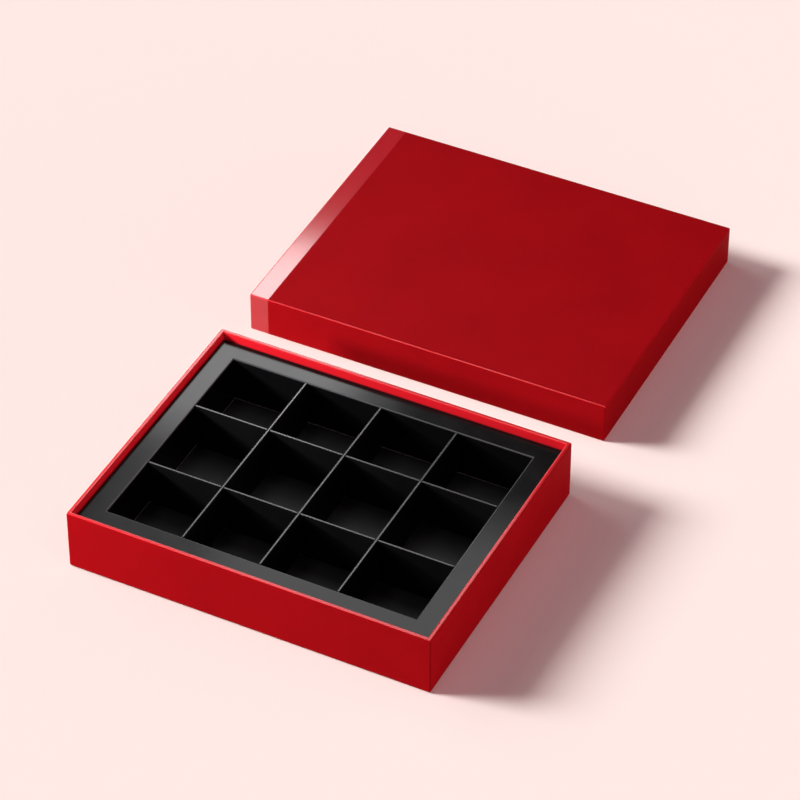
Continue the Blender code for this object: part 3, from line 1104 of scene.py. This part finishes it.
@dataclass
class Studio:
    """A pale paper sweep with keys from the left, softboxes for the gloss, and a bright surround."""

    # Millimetres, but metres for the nearest and farthest that is drawn
    lens: float = 174.96
    sensor: float = 36.0
    clip: tuple[float, float] = (0.05, 60.0)
    yaw: float = math.radians(-26.55879)
    pitch: float = math.radians(40.62539)
    roll: float = math.radians(-0.15259)
    # Where the base's middle is from the lens, in millimetres to the right, down and ahead
    stand: tuple[float, float, float] = (-38.96232, 65.08608, 1952.52429)
    floor_name: str = "paper_sweep"
    floor_size: float = 40.0
    keys: tuple[Sun, ...] = (
        ("key_front_left", (57.0, 17.0, -35.0), 4.15, 19.0),
        ("key_back_left", (50.0, -8.0, -35.0), 0.5, 30.0),
    )
    right_fill: Sun = ("fill_right", (-57.0, 0.0, -16.0), 0.6, 20.0)
    left_fill: Panel = ("fill_front_left", (-0.376, -0.187, 0.178), (0.08, 0.05), 238.73)
    left_fill_aim: tuple[float, float, float] = (0.0, 0.03, 0.01)
    # Placed by the middle, and sized by the half, of their mirror image on the deck
    softboxes: tuple[Panel, ...] = (
        ("gloss_back_left", (-0.090, 0.093), (0.075, 0.088), 9.8),
        ("gloss_front", (0.090, -0.090), (0.115, 0.100), 4.4),
        ("gloss_front_left", (-0.075, -0.090), (0.050, 0.100), 1.4),
    )
    overhead: Panel = ("gloss_overhead", (-0.42, -0.10, 1.20), (0.30, 0.60), 9.0)
    washes: tuple[Panel, ...] = (
        ("wash_front", (-0.004, -0.080, 0.014), (0.196, 0.004), 0.9),
        ("wash_left", (-0.100, 0.001, 0.060), (0.004, 0.158), 2.3),
        ("wash_between", (-0.0035, 0.122, 0.030), (0.183, 0.004), 1.8),
    )
    # Height of the deck, which mirrors the softboxes, and how far over it they hang
    mirror: float = 31 * MM
    hang: float = 0.3
    ambient: str = "ffd1da"
    # The heights between which the light near the horizon fades
    horizon: tuple[float, float] = (0.01, 0.22)
    glow_right: Glow = ((0.97, -0.24, 0.0), (0.15, 1.0), (0.0, 6.2))
    glow_left: Glow = ((-0.9, 0.44, 0.0), (0.3, 0.8), (0.0, 1.3))
    glow_above: Glow = ((0.85, -0.2, 0.49), (-0.2, 1.0), (0.035, 0.475))

    def camera(self) -> None:
        """Sets up the camera as the photograph was taken."""
        ahead = Vector((
            math.sin(self.yaw) * math.cos(self.pitch), math.cos(self.yaw) * math.cos(self.pitch),
            -math.sin(self.pitch),
        ))
        side = Vector((math.cos(self.yaw), -math.sin(self.yaw), 0.0))
        down = ahead.cross(side)
        right = side * math.cos(self.roll) + down * math.sin(self.roll)
        below = down * math.cos(self.roll) - side * math.sin(self.roll)
        place = -(Matrix((right, below, ahead)).transposed() @ Vector(self.stand)) * MM
        data = bpy.data.cameras.new("camera")
        data.sensor_width = self.sensor
        data.lens = self.lens
        data.clip_start, data.clip_end = self.clip
        camera = bpy.data.objects.new("camera", data)
        bpy.context.scene.collection.objects.link(camera)
        turn = Matrix((right, -below, -ahead)).transposed().to_4x4()
        camera.matrix_world = Matrix.Translation(place) @ turn
        bpy.context.scene.camera = camera

    def aim(self, item: Piece, travel: Sequence[float]) -> None:
        """Turns a lamp so that its light goes one way."""
        item.rotation_mode = "QUATERNION"
        item.rotation_quaternion = Vector(travel).to_track_quat("-Z", "Y")

    def sun(self, name: str, travel: Sequence[float], strength: float, spread: float) -> Piece:
        """Adds a distant soft light.

        Args:
            name: its name.
            travel: the way its light goes.
            strength: its strength, square on.
            spread: how wide it looks, in degrees.

        Returns:
            The lamp.
        """
        data = bpy.data.lights.new(name, "SUN")
        data.energy = strength
        data.angle = math.radians(spread)
        item = bpy.data.objects.new(name, data)
        bpy.context.scene.collection.objects.link(item)
        self.aim(item, travel)
        return item

    def panel(self, name: str, place: Sequence[float], size: Sequence[float], glow: float) -> Piece:
        """Adds a flat lamp that shines straight down.

        Args:
            name: its name.
            place: its middle.
            size: its length and width.
            glow: its brightness, where a lit white is 1.

        Returns:
            The lamp.
        """
        data = bpy.data.lights.new(name, "AREA")
        data.shape = "RECTANGLE"
        data.size, data.size_y = size
        data.energy = glow * math.pi * size[0] * size[1]
        item = bpy.data.objects.new(name, data)
        bpy.context.scene.collection.objects.link(item)
        item.location = place
        return item

    def show_in_gloss_only(self, item: Piece) -> None:
        """Hides a lamp from the camera and from matt surfaces."""
        item.visible_camera = False
        item.visible_diffuse = False

    def lights(self) -> None:
        """Lights the sweep so that white paper renders white, most of it from the front key.

        The softbox high over the left side draws a fine bright line along folds that face front.
        """
        for key in self.keys:
            self.sun(*key)
        for softbox in self.softboxes:
            self.hang_softbox(*softbox)
        self.show_in_gloss_only(self.panel(*self.overhead))

    def hang_softbox(self, name: str, centre: Sequence[float], half: Sequence[float], glow: float) -> None:
        """Adds a softbox that only gloss shows, hung flat over the set.

        It is given by where a level mirror at the deck's height shows it to the camera.

        Args:
            name: its name.
            centre: the middle of its mirror image on the deck.
            half: half of the image's length and width.
            glow: its brightness, where a lit white is 1.
        """
        eye = bpy.context.scene.camera.matrix_world.translation
        reach = self.hang / (eye.z - self.mirror)
        place = (
            centre[0] + reach * (centre[0] - eye.x), centre[1] + reach * (centre[1] - eye.y),
            self.mirror + self.hang,
        )
        size = [2 * side * (1 + reach) for side in half]
        self.show_in_gloss_only(self.panel(name, place, size, glow))

    def fill_lights(self) -> None:
        """Lights the box alone from low at the front left, and the base's wrap alone from the right."""
        near = self.panel(*self.left_fill)
        self.aim(near, Vector(self.left_fill_aim) - near.location)
        self.light_only(near, [
            piece for piece in bpy.context.scene.objects
            if piece.type == "MESH" and piece.name != self.floor_name
        ])
        self.light_only(self.sun(*self.right_fill), [bpy.data.objects[Base.wrap_name]])

    def light_only(self, item: Piece, pieces: Sequence[Piece]) -> None:
        """Lets a lamp light some pieces and no others.

        Args:
            item: the lamp.
            pieces: what it lights.
        """
        lit = bpy.data.collections.new(f"lit_by_{item.name}")
        for piece in pieces:
            lit.objects.link(piece)
        item.light_linking.receiver_collection = lit

    def wash(self) -> None:
        """Adds strips close to the box that light the floor alone, where its red walls tint the paper."""
        for strip in self.washes:
            item = self.panel(*strip)
            item.visible_camera = False
            item.visible_glossy = False
            self.light_only(item, [bpy.data.objects[self.floor_name]])
            item.light_linking.blocker_collection = item.light_linking.receiver_collection

    def glow(self, way: Socket, light: Glow) -> Socket:
        """Lights the surround round one direction.

        Args:
            way: the direction that is looked along.
            light: the glow's direction, span and brightness.

        Returns:
            The brightness that is seen that way.
        """
        direction, span, ends = light
        made = add_node(
            way.id_data, "ShaderNodeVectorMath", {"operation": "DOT_PRODUCT"}, {0: way, 1: direction}
        )
        return carry(made.outputs["Value"], ends, span, "SMOOTHSTEP")

    def surround(self) -> None:
        """Makes the world: pale and bright near the horizon, most on the right, and dim above."""
        world = bpy.data.worlds.new("studio")
        bpy.context.scene.world = world
        world.use_nodes = True
        tree = world.node_tree
        way = add_node(tree, "ShaderNodeTexCoord").outputs["Generated"]
        height = add_node(tree, "ShaderNodeSeparateXYZ", None, {"Vector": way}).outputs["Z"]
        horizon = carry(height, (1.0, 0.0), self.horizon, "SMOOTHSTEP")
        right, left, above = (
            self.glow(way, light) for light in (self.glow_right, self.glow_left, self.glow_above)
        )
        sides = add_node(tree, "ShaderNodeMath", {"operation": "ADD"}, {0: right, 1: left})
        whole = add_node(
            tree, "ShaderNodeMath", {"operation": "MULTIPLY_ADD"},
            {0: horizon, 1: sides.outputs["Value"], 2: above},
        )
        links = {"Color": linear(self.ambient), "Strength": whole.outputs["Value"]}
        fill(tree.nodes["Background"], links)

    def sweep(self) -> None:
        """Adds the floor."""
        deselect()
        bpy.ops.mesh.primitive_plane_add(size=self.floor_size, location=(0.0, 0.0, 0.0))
        floor = bpy.context.object
        floor.name = self.floor_name
        floor.data.materials.append(SWEEP.make())

    def build(self) -> None:
        """Sets up camera, lights, surround and floor. The fills wait until the box is there."""
        bpy.context.scene.view_settings.view_transform = "Standard"
        self.camera()
        self.lights()
        self.surround()
        self.sweep()
        self.wash()


def main() -> None:
    """Builds the studio and every piece, in order."""
    logging.basicConfig(level=logging.INFO, format="%(message)s")
    sheets = Sheets()
    studio = Studio()
    studio.build()
    Base(sheets).build()
    Insert(sheets).build()
    Lattice(sheets).build()
    Lid(sheets).build()
    Carcass().build()
    studio.fill_lights()


if __name__ == "__main__":
    main()
